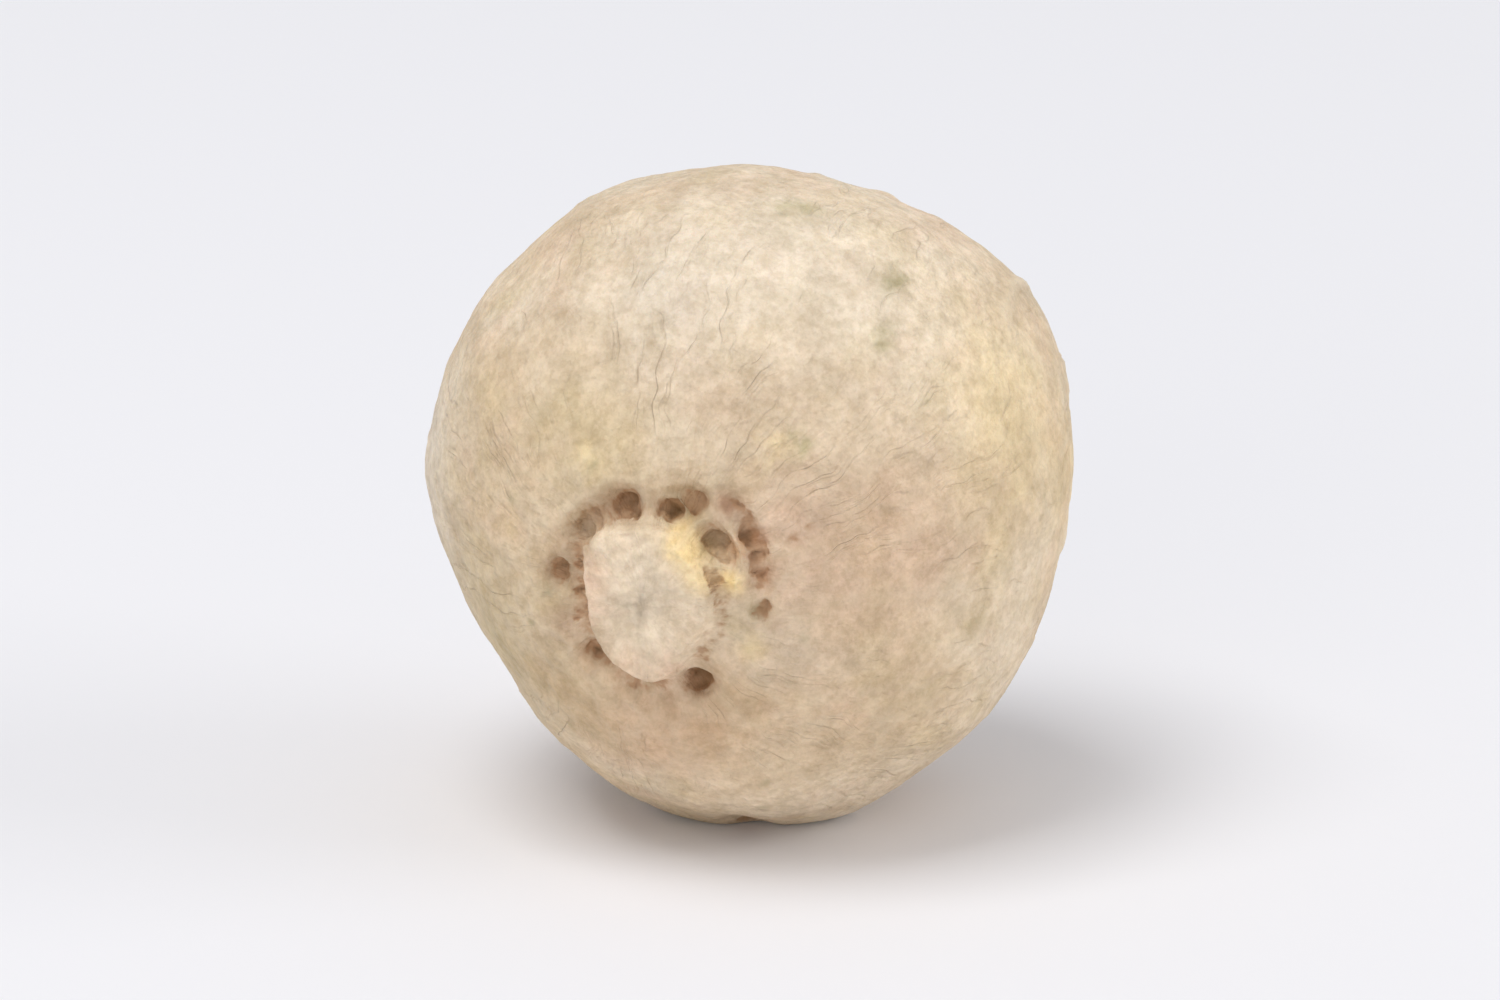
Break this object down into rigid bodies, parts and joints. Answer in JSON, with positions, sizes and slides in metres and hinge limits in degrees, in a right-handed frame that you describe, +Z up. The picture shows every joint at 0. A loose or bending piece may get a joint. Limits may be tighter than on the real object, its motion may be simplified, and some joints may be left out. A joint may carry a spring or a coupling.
{
  "type": "white peppercorn",
  "caption": "Dried, skinned pepper berry: a small cream ball with a stem scar, faint ribs and a dimpled tip, for scattering, filling a bowl or grinding.",
  "frame": {"origin": "at the height of the small flat spot that the berry lies on, under the middle of its box", "axes": "+Z up; the stem scar faces the front, -Y, about 17 degrees to the left and 4 degrees down; the dimpled tip faces the back"},
  "size_m": [0.0046, 0.0046, 0.0047],
  "materials": {
    "skin": "matt, cream to beige dried seed skin, darker brown in the pits round the stem scar"
  },
  "bodies": {
    "root": {"peppercorn": "skin"}
  },
  "joints": []
}
